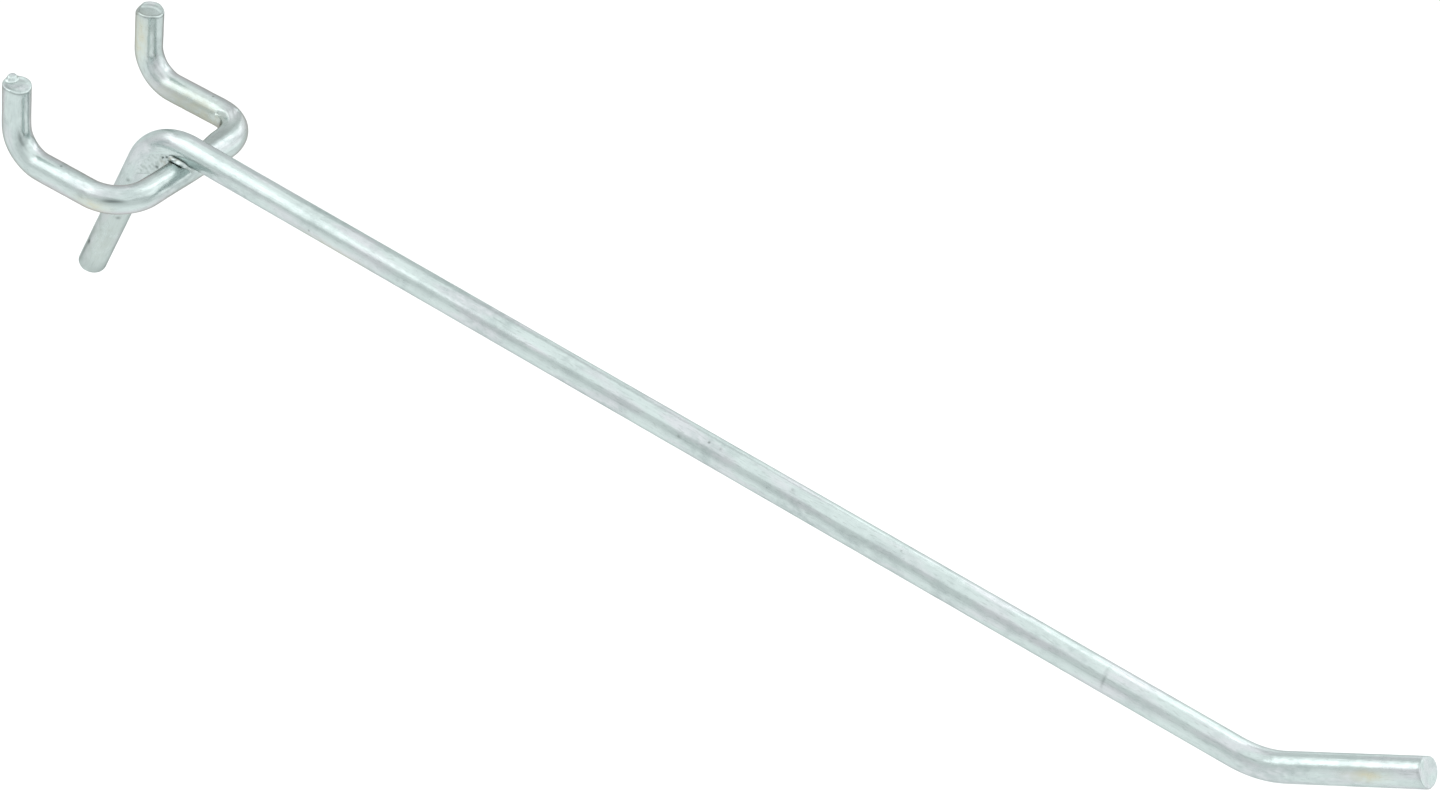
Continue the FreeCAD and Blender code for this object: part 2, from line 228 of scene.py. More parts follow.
@dataclass(frozen=True)
class CutEnd:
    """One cut end of a wire: sizes in millimetres, and places on its face as shares of the radius."""

    shear: Shear
    toward: tuple[float, float, float]
    rounding: float = 0.15
    lean: float = 0.1
    depth: float = 0.4
    burr: float = 0.07
    roll: float = 0.0
    proud: float = 0.0
    dull: float = 0.3
    dark_line: float = 0.0
    # The burr rises over this stretch of the face, and what lies inside it is torn.
    burr_rise: tuple[float, float] = (0.62, 0.92)
    roll_from: float = 0.3
    torn_relief: float = 0.018
    torn_reach: float = 0.8
    lip_centre: tuple[float, float] = (0.66, 0.0)
    lip_size: tuple[float, float] = (0.38, 0.5)
    lip_flank: tuple[float, float] = (0.42, 1.08)
    chip_from: float = 0.62
    # Where the crack changed its path a bowed step runs beside the middle of the face.
    step_height: float = 0.1
    step_reach: float = 0.85
    step_aside: float = 0.35
    step_bow: float = 0.5
    step_flank: float = 0.06
    # The shear's drag left a groove just below the rim, this far down and this wide.
    groove_below: float = 0.05
    groove_width: float = 0.1

    def drop(self, sideways: np.ndarray, crosswise: np.ndarray) -> np.ndarray:
        """Say how far the face lies below the end of the wire.

        Args:
            sideways: Place on the face toward the lip or chip, as a share of the wire's radius.
            crosswise: Place on the face square to that, as a share of the wire's radius.

        Returns:
            The drop at each place, below 0 where a lip stands up.
        """
        reach = np.hypot(sideways, crosswise)
        hollow = self.burr * (1.0 - smooth_step(*self.burr_rise, reach))
        # The side where the blade came in rolled over before the rest sheared.
        tilt = self.lean * (1.0 - sideways) / 2 + self.roll * smooth_step(self.roll_from, 1.0, -sideways)
        tears = np.sin(4.0 * crosswise + 3.0 * sideways + 1.0) * np.sin(5.0 * sideways - 2.0)
        torn = self.torn_relief * tears * (reach < self.torn_reach)
        if self.shear is Shear.LIP:
            away = np.hypot(
                (sideways - self.lip_centre[0]) / self.lip_size[0],
                (crosswise - self.lip_centre[1]) / self.lip_size[1],
            )
            lip = 1.0 - smooth_step(*self.lip_flank, away)
            return tilt + (hollow + torn) * (1.0 - lip) - self.depth * lip
        if self.shear is Shear.CHIP:
            broken = np.clip((sideways - self.chip_from) / (1.0 - self.chip_from), 0.0, 1.0)
            beyond = crosswise + self.step_aside - self.step_bow * sideways**2
            step = self.step_height * smooth_step(-self.step_flank, self.step_flank, beyond)
            shelf = hollow + torn + step * (reach < self.step_reach)
            return tilt + self.depth * broken + shelf * (1.0 - smooth_step(0.0, 0.1, broken))
        return tilt + hollow - self.proud * (1.0 + sideways) / 2

    def groove(self, from_end: np.ndarray, around: np.ndarray) -> np.ndarray:
        """Say how dark the groove below the rim is.

        Args:
            from_end: How far each ring is from the end of the wire.
            around: The angle of each point of a ring.

        Returns:
            The darkness for each ring and point.
        """
        away = (from_end - self.rounding - self.groove_below) / self.groove_width
        uneven = 0.75 + 0.25 * np.sin(3 * around + 1.0) * np.sin(5 * around)
        return self.dark_line * np.exp(-(away**2))[:, None] * uneven[None, :]


class Trace(Enum):
    """What a mark is, which is also the column of the marks attribute that holds it."""

    # Dark marks: real scuffs and dents, and painted shade, namely dark reflections and dark edge lines on
    # the wires and the dark creases of the weld.
    SCUFF = 0
    STAIN = 1
    DULL = 2


@dataclass(frozen=True)
class Mark:
    """A scuff, pit, dent, stain or stroke of painted shade, centred on a point of the wire's surface, in
    millimetres.
    """

    trace: Trace
    near: tuple[float, float, float]
    along: float
    across: float
    strength: float = 1.0
    depth: float = 0.0
    slant: float = 0.0

    def weight(self, places: np.ndarray, heading: np.ndarray) -> np.ndarray:
        """Say how strongly the mark acts at each place.

        Args:
            places: Points of the surface, in millimetres.
            heading: The wire's direction at the mark.

        Returns:
            From 0 far away to 1 at the mark's centre.
        """
        away = places - np.array(self.near)
        forward = away @ heading
        sideways = away - forward[..., None] * heading
        reach = np.linalg.norm(sideways, axis=-1)
        upward = np.sign(sideways[..., 2]) * reach
        forward = forward + self.slant * upward
        return np.exp(-((forward / self.along) ** 2) - (reach / self.across) ** 2)


@dataclass(frozen=True)
class Flat:
    """A facet that a bending tool pressed into the wire, in millimetres."""

    near: tuple[float, float, float]
    facing: tuple[float, float, float]
    reach: float
    depth: float
    # Points that lie this far below the facet belong to the wire's other side.
    other_side: float = 1.0
    # The facet runs out where it would have to be pressed in between this deep and this deep.
    run_out: tuple[float, float] = (0.16, 0.62)

    def press(self, places: np.ndarray) -> np.ndarray:
        """Press the surface in.

        Args:
            places: Points of the surface.

        Returns:
            The points, with those that stood past the facet brought back to it.
        """
        facing = unit(np.array(self.facing))
        away = places - np.array(self.near)
        height = away @ facing
        flat = np.linalg.norm(away - height[..., None] * facing, axis=-1)
        sunk = height + self.depth * (1.0 - (flat / self.reach) ** 2)
        past = np.where((flat < self.reach) & (height > -self.other_side), np.maximum(sunk, 0.0), 0.0)
        past = past * (1.0 - smooth_step(*self.run_out, past))
        return places - past[..., None] * facing


@dataclass(frozen=True)
class Ripple:
    """Slow waves that rolling, bending and plating leave in a wire's surface."""

    seed: int
    height: float = 0.012
    shortest: float = 2.2
    longest: float = 14.0
    waves: int = 14
    most_lobes: int = 4

    def depth(self, along: np.ndarray, around: np.ndarray) -> np.ndarray:
        """Say how far the surface lies inside the true round.

        Args:
            along: Millimetres along the wire, one for each station.
            around: The angle of each point of a ring.

        Returns:
            A depth for each station and point, 0 or more.
        """
        draw = np.random.default_rng(self.seed)
        total = np.zeros((len(along), len(around)))
        for _ in range(self.waves):
            length = self.shortest * (self.longest / self.shortest) ** draw.random()
            lobes = int(draw.integers(-self.most_lobes, self.most_lobes + 1))
            phase = draw.random() * math.tau
            total += np.sin(math.tau * along[:, None] / length + lobes * around[None, :] + phase)
        spread = math.sqrt(self.waves / 2)
        return self.height * np.clip(1.0 + total / spread / 2, 0.0, 2.0)


@dataclass(frozen=True)
class Pattern:
    """A noise over the plate: its sizes along and around the wire and its relief, in millimetres."""

    along: float
    around: float
    detail: float
    harsh: float = 0.5
    relief: float = 0.0


@dataclass(frozen=True)
class Share:
    """How a pattern or a mark grades a coat: its low to high becomes least to most."""

    source: str
    low: float = 0.0
    high: float = 1.0
    least: float = 0.0
    most: float = 1.0


@dataclass(frozen=True)
class Coat:
    """A colour laid over those before it, by the product of its shares."""

    colour: str
    shares: tuple[Share, ...]


class Plate:
    """What both zinc finishes are made of: a plated colour, patterns over it and coats of colour."""

    name: str
    plated: str
    edge_tint: str
    roughness: float

    def patterns(self) -> dict[str, Pattern]:
        """List the patterns by name, the deepest relief first."""
        raise NotImplementedError

    def coats(self) -> tuple[Coat, ...]:
        """List the coats over the plated colour, the lowest first."""
        raise NotImplementedError

    def sources(self, tree: bpy.types.NodeTree) -> Sockets:
        """Lay out what can grade a coat.

        Args:
            tree: The material's nodes.

        Returns:
            The patterns and the marks by name, and the place on the wire.
        """
        place = add_node(tree, "ShaderNodeAttribute", {"attribute_name": PLACE}).outputs["Vector"]
        marks = add_node(tree, "ShaderNodeAttribute", {"attribute_name": MARKS}).outputs["Vector"]
        columns = add_node(tree, "ShaderNodeSeparateXYZ", links={0: marks}).outputs
        found = {trace.name: columns[trace.value] for trace in Trace}
        for name, pattern in self.patterns().items():
            sizes = (1 / pattern.along, 1 / pattern.around, 1 / pattern.around)
            laid = add_node(tree, "ShaderNodeMapping", {"Scale": sizes}, {"Vector": place})
            values = {"Scale": 1.0, "Detail": pattern.detail, "Roughness": pattern.harsh}
            noise = add_node(tree, "ShaderNodeTexNoise", values, {"Vector": laid.outputs[0]})
            found[name] = noise.outputs[0]
        return {**found, PLACE: place}

    def coloured(self, tree: bpy.types.NodeTree, sources: Sockets) -> bpy.types.NodeSocket:
        """Lay the coats over the plated colour.

        Args:
            tree: The material's nodes.
            sources: What can grade a coat.

        Returns:
            The colour of the surface.
        """
        colour = None
        for coat in self.coats():
            amount = None
            for share in coat.shares:
                part = sources[share.source]
                # A share with nothing but a source takes it as it is.
                if share != Share(share.source):
                    values = {"From Min": share.low, "From Max": share.high}
                    values |= {"To Min": share.least, "To Max": share.most}
                    part = add_node(tree, "ShaderNodeMapRange", values, {"Value": part}).outputs[0]
                if amount is not None:
                    both = {0: amount, 1: part}
                    part = add_node(tree, "ShaderNodeMath", {"operation": "MULTIPLY"}, both).outputs[0]
                amount = part
            values = {"data_type": "RGBA", MIX_OVER: linear_colour(coat.colour)}
            links = {MIX_SHARE: amount}
            if colour is None:
                values[MIX_BELOW] = linear_colour(self.plated)
            else:
                links[MIX_BELOW] = colour
            colour = add_node(tree, "ShaderNodeMix", values, links).outputs[MIX_COLOUR]
        return colour

    def raised(self, tree: bpy.types.NodeTree, sources: Sockets) -> bpy.types.NodeSocket:
        """Raise the relief of the patterns that have one.

        Args:
            tree: The material's nodes.
            sources: The patterns by name.

        Returns:
            The surface's normal.
        """
        relief = None
        for name, pattern in self.patterns().items():
            if pattern.relief > 0.0:
                links = {"Height": sources[name]}
                if relief is not None:
                    links["Normal"] = relief
                bump = add_node(tree, "ShaderNodeBump", {"Distance": pattern.relief * MM}, links)
                relief = bump.outputs[0]
        return relief

    def roughened(self, tree: bpy.types.NodeTree, sources: Sockets) -> Sockets:
        """Vary the roughness.

        Args:
            tree: The material's nodes.
            sources: The patterns and marks by name.

        Returns:
            What feeds the shader's roughness, or nothing where it is the same all over.
        """
        return {}

    def material(self) -> bpy.types.Material:
        """Make the finish.

        Returns:
            The material, which reads the place and mark attributes of a piece.
        """
        made = bpy.data.materials.new(self.name)
        made.use_nodes = True
        tree = made.node_tree
        tree.nodes.clear()
        sources = self.sources(tree)
        values = {
            "Metallic": 1.0,
            "Roughness": self.roughness,
            "Specular Tint": linear_colour(self.edge_tint),
        }
        links = {"Base Color": self.coloured(tree, sources), "Normal": self.raised(tree, sources)}
        links |= self.roughened(tree, sources)
        shader = add_node(tree, "ShaderNodeBsdfPrincipled", values, links)
        add_node(tree, "ShaderNodeOutputMaterial", links={"Surface": shader.outputs[0]})
        return made


@dataclass(frozen=True)
class ZincPlate(Plate):
    """Cold drawn low carbon steel wire, barrel plated with bright zinc under a clear blue passivate.

    The plate gives the eye a pale silver with a cool blue green cast, cloudy where the bath ran thin,
    with lengthwise lines left by the drawing die and a faint straw tint where the passivate is thick.
    """

    name: str
    plated: str = "#CEDAD8"
    dull: str = "#B3BFBE"
    violet: str = "#D4D5D9"
    straw: str = "#CFCCB4"
    # Dark grey for pits and scuffs, and for painted shade.
    scuffed_and_shaded: str = "#59615F"
    worn: str = "#A4AEAB"
    edge_tint: str = "#D2D6D5"
    roughness: float = 0.24
    smoothest: float = -0.05
    roughest: float = 0.06
    dulled: float = 0.16
    # Real sizes in millimetres. The die lines and the plate's grain are finer than this on the wire
    # and are drawn as coarse as they need to be to show.
    die_line_pitch: float = 0.22
    die_line_length: float = 9.0
    cloud_size: float = 3.2
    mottle_size: float = 0.9
    grain_size: float = 0.14
    pit_spacing: float = 2.6
    pit_radius: float = 0.16
    dash_length: float = 1.1
    dash_width: float = 0.17
    mottle_relief: float = 0.017
    line_relief: float = 0.005
    dash_relief: float = 0.003
    grain_relief: float = 0.0012

    def patterns(self) -> dict[str, Pattern]:
        """List the patterns of drawing, bath and passivate, the deepest relief first.

        Returns:
            The patterns by name.
        """
        mottle, cloud = self.mottle_size, self.cloud_size
        return {
            "mottle": Pattern(mottle * 1.6, mottle, 4.0, 0.55, self.mottle_relief),
            "die_lines": Pattern(self.die_line_length, self.die_line_pitch, 2.0, relief=self.line_relief),
            "dashes": Pattern(self.dash_length, self.dash_width, 1.0, relief=self.dash_relief),
            "grain": Pattern(self.grain_size, self.grain_size, 2.0, relief=self.grain_relief),
            "clouds": Pattern(cloud * 2, cloud, 3.0),
            "tints": Pattern(cloud * 3, cloud * 0.6, 1.0),
        }

    def coats(self) -> tuple[Coat, ...]:
        """List the coats over the clean plate, the lowest first.

        Returns:
            Each coat, in the order of laying.
        """
        pit = self.pit_radius / self.pit_spacing
        return (
            Coat(self.violet, (Share("tints", 0.48, 0.62, most=0.75),)),
            Coat(self.dull, (Share("clouds", 0.35, 0.7), Share("mottle", 0.3, 0.65))),
            Coat(self.dull, (Share("die_lines", 0.55, 0.75, most=0.35),)),
            Coat(self.worn, (Share("dashes", 0.58, 0.74, most=0.4),)),
            Coat(self.straw, (Share(Trace.STAIN.name), Share("mottle", 0.25, 0.6))),
            Coat(self.worn, (Share(Trace.DULL.name),)),
            Coat(
                self.scuffed_and_shaded,
                (Share("pits", pit * 1.5, pit * 0.5, most=0.55), Share("clouds", 0.52, 0.6)),
            ),
            # Real scuffs and dents, with painted dark reflections and painted dark edge lines, from the
            # marks.
            Coat(self.scuffed_and_shaded, (Share(Trace.SCUFF.name),)),
        )

    def sources(self, tree: bpy.types.NodeTree) -> Sockets:
        """Lay out what can grade a coat, with the pits that handling left.

        Args:
            tree: The material's nodes.

        Returns:
            The patterns, pits and marks by name, and the place on the wire.
        """
        found = super().sources(tree)
        cells = add_node(
            tree, "ShaderNodeTexVoronoi", {"Scale": 1 / self.pit_spacing}, {"Vector": found[PLACE]}
        )
        return {**found, "pits": cells.outputs["Distance"]}

    def roughened(self, tree: bpy.types.NodeTree, sources: Sockets) -> Sockets:
        """Vary the roughness with the mottle, and raise it where the plate is dull.

        Args:
            tree: The material's nodes.
            sources: The patterns and marks by name.

        Returns:
            What feeds the shader's roughness.
        """
        ends = {"To Min": self.roughness + self.smoothest, "To Max": self.roughness + self.roughest}
        varied = add_node(
            tree,
            "ShaderNodeMapRange",
            {"From Min": 0.25, "From Max": 0.75} | ends,
            {"Value": sources["mottle"]},
        )
        rougher = add_node(
            tree,
            "ShaderNodeMath",
            {"operation": "MULTIPLY_ADD", 1: self.dulled},
            {0: sources[Trace.DULL.name], 2: varied.outputs[0]},
        )
        return {"Roughness": rougher.outputs[0]}


@dataclass(frozen=True)
class WeldPlate(Plate):
    """Resistance weld flash, squeezed out rough and then plated with the rest.

    The plate is thin on it, so it looks greyer and rougher than the wire, with brown specks where plating
    salts dried.
    Painted shade makes it nearly black along the creases beside each wire.
    """

    name: str = "zinc_plated_weld_flash"
    plated: str = "#CAD4D3"
    thin: str = "#B0BBB8"
    # Painted crease shade.
    painted_crease_shade: str = "#2E3A36"
    salt: str = "#8C7A5C"
    edge_tint: str = "#C4C8C7"
    roughness: float = 0.36
    # Real sizes in millimetres.
    lump_size: float = 0.55
    speck_size: float = 0.7
    lump_relief: float = 0.02

    def patterns(self) -> dict[str, Pattern]:
        """List the patterns of the rough metal and the dried salts.

        Returns:
            The patterns by name.
        """
        return {
            "lumps": Pattern(self.lump_size, self.lump_size, 2.0, relief=self.lump_relief),
            "specks": Pattern(self.speck_size, self.speck_size, 1.0),
        }

    def coats(self) -> tuple[Coat, ...]:
        """List the coats over the plated flash, the lowest first.

        Returns:
            Each coat, in the order of laying.
        """
        return (
            Coat(self.thin, (Share("lumps", 0.4, 0.65),)),
            Coat(self.salt, (Share("specks", 0.5, 0.7, most=0.4), Share(Trace.STAIN.name))),
            # Painted shade, nearly black, along the creases.
            Coat(self.painted_crease_shade, (Share(Trace.SCUFF.name),)),
        )


def band_faces(rings: int, count: int) -> list[tuple[int, ...]]:
    """Join rings of points, each to the next.

    Args:
        rings: How many rings there are.
        count: How many points each holds.

    Returns:
        The corners of each face.
    """
    faces = []
    for here in range(0, (rings - 1) * count, count):
        there = here + count
        for spot in range(count):
            beside = (spot + 1) % count
            faces.append((here + spot, here + beside, there + beside, there + spot))
    return faces


@dataclass
class Skin:
    """A closed surface, with its points in millimetres."""

    points: np.ndarray
    faces: list[tuple[int, ...]]
    # Each point's place along and around the wire, and how scuffed or darkened with painted shade,
    # stained and dulled it is.
    surface: np.ndarray
    marks: np.ndarray

    def piece(self, name: str, node: str, slot: str, finish: bpy.types.Material) -> bpy.types.Object:
        """Make the piece that this skin is of.

        Args:
            name: The piece's name.
            node: The CAD node that it replaces.
            slot: Its material slot in the record; not used.
            finish: Its material.

        Returns:
            The piece, riding on the hook's one body.
        """
        mesh = bpy.data.meshes.new(name)
        mesh.from_pydata((self.points * MM).tolist(), [], self.faces)
        for attribute, values in ((PLACE, self.surface), (MARKS, self.marks)):
            layer = mesh.attributes.new(attribute, "FLOAT_VECTOR", "POINT")
            layer.data.foreach_set("vector", values.astype(np.float32).ravel())
        mesh.shade_smooth()
        mesh.materials.append(finish)
        mesh.validate()
        piece = bpy.data.objects.new(name, mesh)
        bpy.context.scene.collection.objects.link(piece)
        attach(piece, ROOT)
        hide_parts(node)
        low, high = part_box(node)
        box = np.array(piece.bound_box)
        gap = max(np.abs(box.min(axis=0) - low).max(), np.abs(box.max(axis=0) - high).max()) / MM
        LOG.info("%s: %d faces, box within %.2f mm of its node", name, len(self.faces), gap)
        return piece


@dataclass(frozen=True)
class WeldSeat:
    """Where the two wires sank into each other, from the frame."""

    centre: np.ndarray
    normal: np.ndarray
    reach: float

    def sink(self, places: np.ndarray, side: float) -> np.ndarray:
        """Press a wire's surface flat where the weld took it.

        Args:
            places: Points of the wire, in millimetres.
            side: 1 for the wire above the seat, -1 for the one below it.

        Returns:
            The points, with those past the seat's plane brought back to it.
        """
        away = places - self.centre
        height = away @ self.normal * side
        flat = np.linalg.norm(away - (away @ self.normal)[..., None] * self.normal, axis=-1)
        past = np.where((flat < self.reach) & (height > -self.reach), np.minimum(height, 0.0), 0.0)
        return places - (past * side)[..., None] * self.normal


@dataclass
class BentWire:
    """A round wire bent along a route, with both ends cut."""

    name: str
    node: str
    slot: str
    radius: float
    route: Route
    first_side: np.ndarray
    ends: tuple[CutEnd, CutEnd]
    ripple: Ripple
    marks: tuple[Mark, ...]
    flats: tuple[Flat, ...] = ()
    step: float = 0.25
    points_around: int = 72
    rim_rings: int = 5
    face_rings: int = 16
    # The face's rings lie between these shares of its radius.
    face_span: tuple[float, float] = (0.02, 0.96)
    # A cut end's lean and tears fade out this far along the wire.
    end_fade: float = 1.6

    def stations(self) -> tuple[np.ndarray, np.ndarray, np.ndarray, np.ndarray, np.ndarray]:
        """Carry a pair of directions square to the wire along its route.

        Returns:
            Distance, place and heading of each station, and its two square directions.
        """
        travelled, places, headings = self.route.walk(self.step)
        firsts, side = [], self.first_side
        for heading in headings:
            side = unit(side - heading * (side @ heading))
            firsts.append(side)
        firsts = np.array(firsts)
        return travelled, places, headings, firsts, np.cross(headings, firsts)

    def end_rings(self, end: CutEnd, station: int) -> list[tuple[int, float, float, float]]:
        """List the rings of one cut face and its rim, from the middle outwards.

        Args:
            end: The cut end.
            station: The station at that end.

        Returns:
            For each ring its station, radius, distance in from the end, and share as cut face.
        """
        inner = self.radius - end.rounding
        shares = np.linspace(*self.face_span, self.face_rings)
        rings = [(station, inner * share, 0.0, 1.0) for share in shares]
        for turn in np.linspace(math.pi / 2, 0.0, self.rim_rings):
            radius = self.radius - end.rounding * (1 - math.cos(turn))
            inset = end.rounding * (1 - math.sin(turn))
            cut = float(smooth_step(0.5, 1.0, np.array(math.sin(turn))))
            rings.append((station, radius, inset, cut))
        return rings

    def rings(self, travelled: np.ndarray) -> tuple[np.ndarray, ...]:
        """List all rings: over one face and its rim, along the wire, and over the other rim and face.

        Args:
            travelled: The distance of each station from the start.

        Returns:
            Each ring's station, radius, distance in from its end, and share as cut face, and whether
            it belongs to the first end.
        """
        first = self.end_rings(self.ends[0], 0)
        last = self.end_rings(self.ends[1], len(travelled) - 1)
        clear = [end.rounding + self.step / 2 for end in self.ends]
        sides = [
            (number, self.radius, 0.0, 0.0)
            for number, reach in enumerate(travelled)
            if clear[0] < reach < travelled[-1] - clear[1]
        ]
        ordered = first + sides + last[::-1]
        near_start = np.arange(len(ordered)) < (2 * len(first) + len(sides)) / 2
        return (*(np.array(column) for column in zip(*ordered)), near_start)

    def shape(self) -> Skin:
        """Work out the wire's surface.

        Returns:
            The skin, before the weld's seat is pressed into it.
        """
        travelled, centres, headings, firsts, seconds = self.stations()
        stations, spreads, insets, cuts, near_start = self.rings(travelled)
        around = np.arange(self.points_around) / self.points_around * math.tau
        inward = np.where(near_start, insets, -insets)
        along = travelled[stations] + inward
        outward = (
            np.cos(around)[None, :, None] * firsts[stations][:, None, :]
            + np.sin(around)[None, :, None] * seconds[stations][:, None, :]
        )
        depth = self.ripple.depth(along, around) * (spreads / self.radius)[:, None]
        points = centres[stations][:, None, :] + outward * (spreads[:, None] - depth)[..., None]
        points = points + (headings[stations] * inward[:, None])[:, None, :]
        marks = np.zeros(points.shape)
        on_face = outward * (spreads / self.radius)[:, None, None]
        for end, near, from_end, station, sign in (
            (self.ends[0], near_start, along, 0, 1.0),
            (self.ends[1], ~near_start, travelled[-1] - along, -1, -1.0),
        ):
            heading = headings[station]
            toward = np.array(end.toward)
            toward = unit(toward - heading * (toward @ heading))
            drop = end.drop(on_face @ toward, on_face @ np.cross(heading, toward))
            fade = np.where(near, 1.0 - smooth_step(0.0, self.end_fade, from_end), 0.0)
            points = points + (drop * fade[:, None] * sign)[..., None] * heading
            marks[..., Trace.DULL.value] += np.where(near, cuts * end.dull, 0.0)[:, None]
            below_rim = (near & (cuts < 0.5))[:, None]
            marks[..., Trace.SCUFF.value] += end.groove(from_end, around) * below_rim
        for mark in self.marks:
            nearest = np.argmin(np.linalg.norm(centres - np.array(mark.near), axis=1))
            weight = mark.weight(points, headings[nearest])
            points = points - outward * (weight * mark.depth)[..., None]
            column = marks[..., mark.trace.value]
            marks[..., mark.trace.value] = np.clip(column + weight * mark.strength, 0.0, 1.0)
        for flat in self.flats:
            points = flat.press(points)
        surface = np.stack(
            (
                np.repeat(along[:, None], self.points_around, axis=1),
                np.cos(around)[None, :] * spreads[:, None],
                np.sin(around)[None, :] * spreads[:, None],
            ),
            axis=-1,
        )
        return self.closed(points, surface, marks)

    def closed(self, points: np.ndarray, surface: np.ndarray, marks: np.ndarray) -> Skin:
        """Join the rings and close both faces at their middles.

        Args:
            points: Points in millimetres, ring by ring.
            surface: Each point's place on the wire.
            marks: Each point's marks.

        Returns:
            The skin, with the two middles added as its last points.
        """
        rings, count = points.shape[:2]
        faces = band_faces(rings, count)
        first, last = rings * count, rings * count + 1
        for spot in range(count):
            beside = (spot + 1) % count
            faces.append((first, beside, spot))
            faces.append((last, (rings - 1) * count + spot, (rings - 1) * count + beside))

        def with_middles(values: np.ndarray) -> np.ndarray:
            """Append the mean of the first ring and of the last."""
            middles = np.stack((values[0].mean(axis=0), values[-1].mean(axis=0)))
            return np.concatenate((values.reshape(-1, 3), middles))

        return Skin(with_middles(points), faces, with_middles(surface), with_middles(marks))

    def build(self, finish: bpy.types.Material, seat: WeldSeat, side: float) -> bpy.types.Object:
        """Make the wire's piece in place of its CAD node.

        Args:
            finish: The wire's material.
            seat: Where the wires sank into each other.
            side: 1 if this wire lies above the seat, -1 if below.

        Returns:
            The piece.
        """
        skin = self.shape()
        low, high = (np.array(corner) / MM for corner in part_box(self.node))
        # A burr would stand a few hundredths of a millimetre out of the CAD model's box.
        skin.points = np.clip(seat.sink(skin.points, side), low, high)
        return skin.piece(self.name, self.node, self.slot, finish)


@dataclass
class MountingStaple:
    """The U of wire whose prongs go up behind the board, with its sizes in millimetres."""

    hole_pitch: float = 25.4
    depth: float = 18.0
    crossbar_bend_radius: float = 5.4
    prong_bend_radius: float = 4.6
    left_prong_rise: float = 10.9
    right_prong_rise: float = 10.4
    # The rounding of the CAD model's cut ends, which the prongs' mount stops at.
    cad_rounding: float = 0.35

    def route(self) -> Route:
        """Lay the wire's axis from the left prong's cut end to the right one's.

        Returns:
            The route, placed by the prongs' mount.
        """
        place, up = mount("prongs")
        back = np.array((0.0, up[2], -up[1]))
        mount_rise = (self.prong_bend_radius + self.right_prong_rise - self.cad_rounding) / 2
        knee = place - up * mount_rise
        crossbar = knee - back * self.depth
        side = ACROSS * self.hole_pitch / 2
        corners = (
            knee - side + up * self.left_prong_rise,
            knee - side,
            crossbar - side,
            crossbar + side,
            knee + side,
            knee + side + up * self.right_prong_rise,
        )
        bends = (self.prong_bend_radius, self.crossbar_bend_radius)
        return Route(corners, (*bends, *reversed(bends)))

    def wear(self) -> tuple[Mark, ...]:
        """List what bending tools, bins and the plating bath left on the staple, with a painted dark
        reflection and a painted dark edge line.

        Returns:
            The marks, in the order in which they are made.
        """
        return (
            Mark(Trace.SCUFF, (-14.47, -8.3, 0.82), 0.5, 0.5, 0.12, 0.1),
            Mark(Trace.SCUFF, (-13.6, -8.1, 1.8), 0.45, 0.3, 0.1, 0.08),
            # Painted dark reflection: a dark streak between two highlights on the left run near its bend,
            # over a shallow dent.
            Mark(Trace.SCUFF, (-12.9, -12.2, 1.7), 1.6, 0.24, 0.8, 0.06),
            Mark(Trace.SCUFF, (-13.8, 3.2, 2.0), 1.1, 0.24, 0.5, 0.05),
            Mark(Trace.SCUFF, (-13.7, 2.3, 0.95), 0.9, 0.2, 0.35, 0.04),
            Mark(Trace.SCUFF, (11.6, 1.7, 0.6), 1.7, 0.26, 0.3, 0.04),
            Mark(Trace.DULL, (7.5, -12.6, 2.7), 3.0, 0.7, 0.4),
            # The bending tool squeezed the wire toward the inside of the right bend.
            Mark(Trace.DULL, (7.6, -11.6, 1.45), 2.3, 1.1, 0.0, -0.45),
            Mark(Trace.STAIN, (10.8, -5.4, -0.6), 5.5, 1.7, 1.0),
            Mark(Trace.DULL, (11.0, -4.0, -0.8), 6.0, 1.3, 0.7),
            Mark(Trace.STAIN, (10.9, 5.6, 4.6), 3.2, 1.2, 0.8),
            Mark(Trace.DULL, (11.75, 4.05, 6.5), 5.0, 0.4, 0.3),
            # Painted shade: a long thin dark line up the right prong, along its right edge in the
            # camera's view.
            Mark(Trace.SCUFF, (13.65, 3.87, 6.5), 6.5, 0.36, 0.45),
            Mark(Trace.STAIN, (-14.3, -10.0, 0.1), 2.2, 0.9, 0.8),
        )

    def facets(self) -> tuple[Flat, ...]:
        """List the facets that the bending tool pressed into the staple."""
        return (Flat((8.2, -12.7, 2.753), (-0.03, 0.42, 0.907), 5.2, 0.13),)

    def wire(self) -> BentWire:
        """Describe the staple's wire.

        Returns:
            The wire, not built yet.
        """
        low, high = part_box("mounting_staple")
        radius = ((high.x - low.x) / MM - self.hole_pitch) / 2
        left = CutEnd(
            Shear.LIP,
            (0.1, 1.0, 0.0),
            rounding=0.2,
            depth=0.6,
            roll=0.25,
            dull=0.0,
            dark_line=0.7,
            lip_centre=(0.66, 0.14),
        )
        right = CutEnd(
            Shear.CHIP,
            (-0.42, 0.9, 0.0),
            rounding=0.2,
            lean=0.0,
            depth=0.5,
            roll=0.28,
            dull=0.25,
            dark_line=0.7,
        )
        return BentWire(
            "staple_wire",
            "mounting_staple",
            "staple_wire",
            radius,
            self.route(),
            np.array((0.0, 1.0, 0.0)),
            (left, right),
            Ripple(seed=7, height=0.014),
            self.wear(),
            self.facets(),
            step=0.2,
        )


